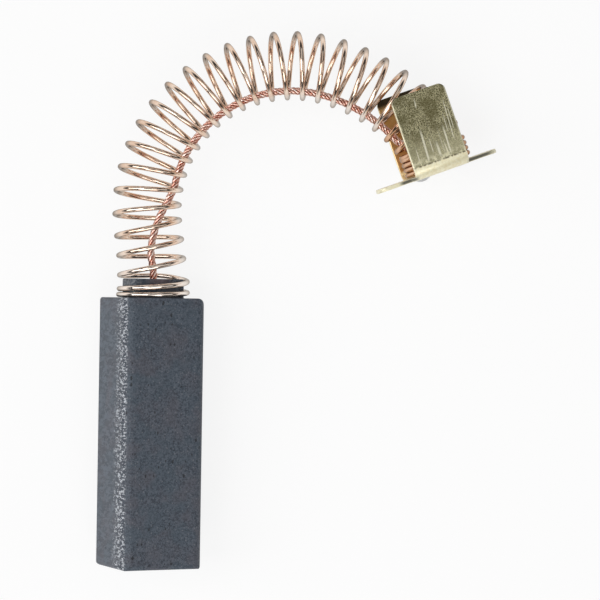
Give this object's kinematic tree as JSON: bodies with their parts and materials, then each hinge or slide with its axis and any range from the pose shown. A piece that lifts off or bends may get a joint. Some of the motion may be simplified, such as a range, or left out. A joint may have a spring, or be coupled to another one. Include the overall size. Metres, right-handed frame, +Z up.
{
  "type": "carbon brush",
  "caption": "Motor carbon brush lying at rest: rectangular carbon block, sideways-bent coil spring, copper lead inside it and a folded brass saddle terminal with two ears.",
  "frame": {"origin": "centre of the block's running face", "axes": "+Y along the block from the running face to the neck, +Z up from the surface that the brush lies on, +X toward the terminal"},
  "size_m": [0.0345, 0.047, 0.0087],
  "materials": {
    "carbon": "matt pressed carbon with fine pores",
    "tamping": "matt tamped copper powder",
    "lead": "bare stranded copper",
    "spring": "bright drawn bronze wire",
    "terminal": "satin sheet brass with fine scratches",
    "solder": "dull solder"
  },
  "bodies": {
    "root": {"carbon_block": "carbon", "tamped_copper": "tamping", "copper_lead": "lead", "spring": "spring", "terminal": "terminal", "solder": "solder"}
  },
  "joints": []
}
